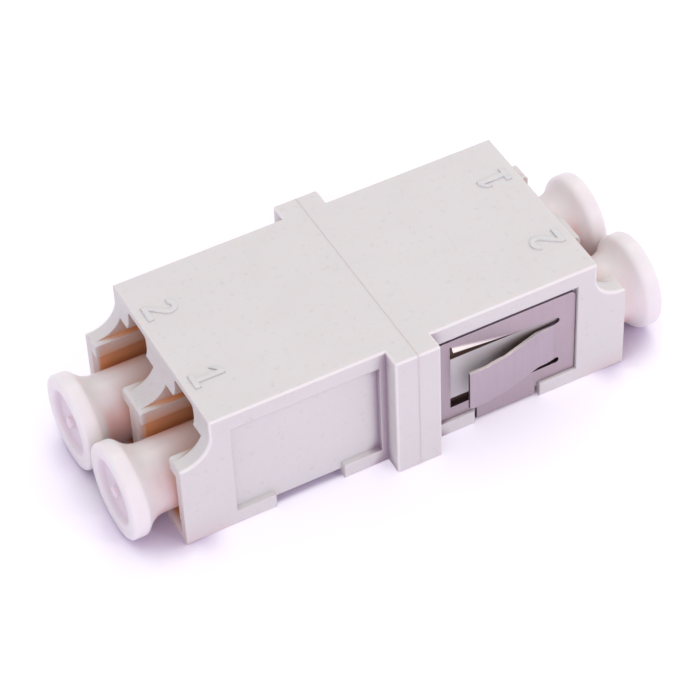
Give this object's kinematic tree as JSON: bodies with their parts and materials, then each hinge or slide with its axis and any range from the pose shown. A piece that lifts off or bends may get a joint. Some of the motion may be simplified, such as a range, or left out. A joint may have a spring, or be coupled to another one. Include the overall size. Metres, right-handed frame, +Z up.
{
  "type": "fibre adapter",
  "caption": "Duplex fibre optic adapter: two-part moulded housing with panel flange, spring clip, alignment sleeves and pull-out dust caps.",
  "frame": {"origin": "on the ground under the middle of the weld between the two mouldings", "axes": "+X along the ports, towards the half that carries the clip; +Y from the near port to the far port; +Z up, towards the latch channels"},
  "size_m": [0.0358, 0.0154, 0.0093],
  "materials": {
    "housing_plastic": "fine satin moulded plastic, off-white",
    "clip_steel": "satin stainless sheet with bright cut edges",
    "sleeve_ceramic": "polished white ceramic",
    "cap_plastic": "soft translucent plastic"
  },
  "bodies": {
    "adapter": {"housing_left": "housing_plastic", "housing_right": "housing_plastic", "spring_clip": "clip_steel", "sleeve_near": "sleeve_ceramic", "sleeve_far": "sleeve_ceramic"},
    "cap_left_near": {"dust_cap_left_near": "cap_plastic"},
    "cap_left_far": {"dust_cap_left_far": "cap_plastic"},
    "cap_right_near": {"dust_cap_right_near": "cap_plastic"},
    "cap_right_far": {"dust_cap_right_far": "cap_plastic"}
  },
  "joints": [
    {"name": "cap_left_near", "type": "slide", "parent": "adapter", "child": "cap_left_near", "axis": [-1, 0, 0], "range_m": [0, 0.014]},
    {"name": "cap_left_far", "type": "slide", "parent": "adapter", "child": "cap_left_far", "axis": [-1, 0, 0], "range_m": [0, 0.014]},
    {"name": "cap_right_near", "type": "slide", "parent": "adapter", "child": "cap_right_near", "axis": [1, 0, 0], "range_m": [0, 0.014]},
    {"name": "cap_right_far", "type": "slide", "parent": "adapter", "child": "cap_right_far", "axis": [1, 0, 0], "range_m": [0, 0.014]}
  ]
}
